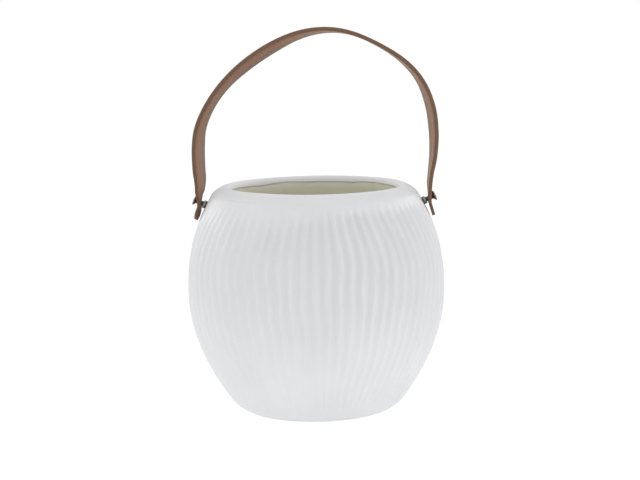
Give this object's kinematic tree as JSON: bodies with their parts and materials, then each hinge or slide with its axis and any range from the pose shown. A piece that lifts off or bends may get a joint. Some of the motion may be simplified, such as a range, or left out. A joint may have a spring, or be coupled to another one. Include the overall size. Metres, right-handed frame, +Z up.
{
  "type": "ceramic planter with strap handle",
  "caption": "Round-bellied ceramic pot with wavy hand-carved upright ribs and a twisted leather strap handle that swings on metal studs.",
  "frame": {"origin": "centre of the foot, in the plane that the pot stands on", "axes": "+Z up along the pot's axis, X through the two studs, front towards -Y"},
  "size_m": [0.2028, 0.203, 0.303],
  "materials": {
    "pot_body": "satin white glaze over carved stoneware",
    "handle_strap": "smooth brown leather with cut edges",
    "left_stud": "dark antique metal",
    "right_stud": "dark antique metal",
    "left_collar": "dull grey metal",
    "right_collar": "dull grey metal",
    "left_washer": "black rubber",
    "right_washer": "black rubber",
    "left_screw": "plain steel",
    "right_screw": "plain steel"
  },
  "bodies": {
    "pot": {"pot_body": "pot_body", "left_stud": "left_stud", "right_stud": "right_stud", "left_collar": "left_collar", "right_collar": "right_collar", "left_washer": "left_washer", "right_washer": "right_washer", "left_screw": "left_screw", "right_screw": "right_screw"},
    "handle": {"handle_strap": "handle_strap"}
  },
  "joints": [
    {"name": "handle_swing", "type": "hinge", "parent": "pot", "child": "handle", "pos_m": [0, 0, 0.16712], "axis": [1, 0, 0], "range_deg": [-80, 80]}
  ]
}
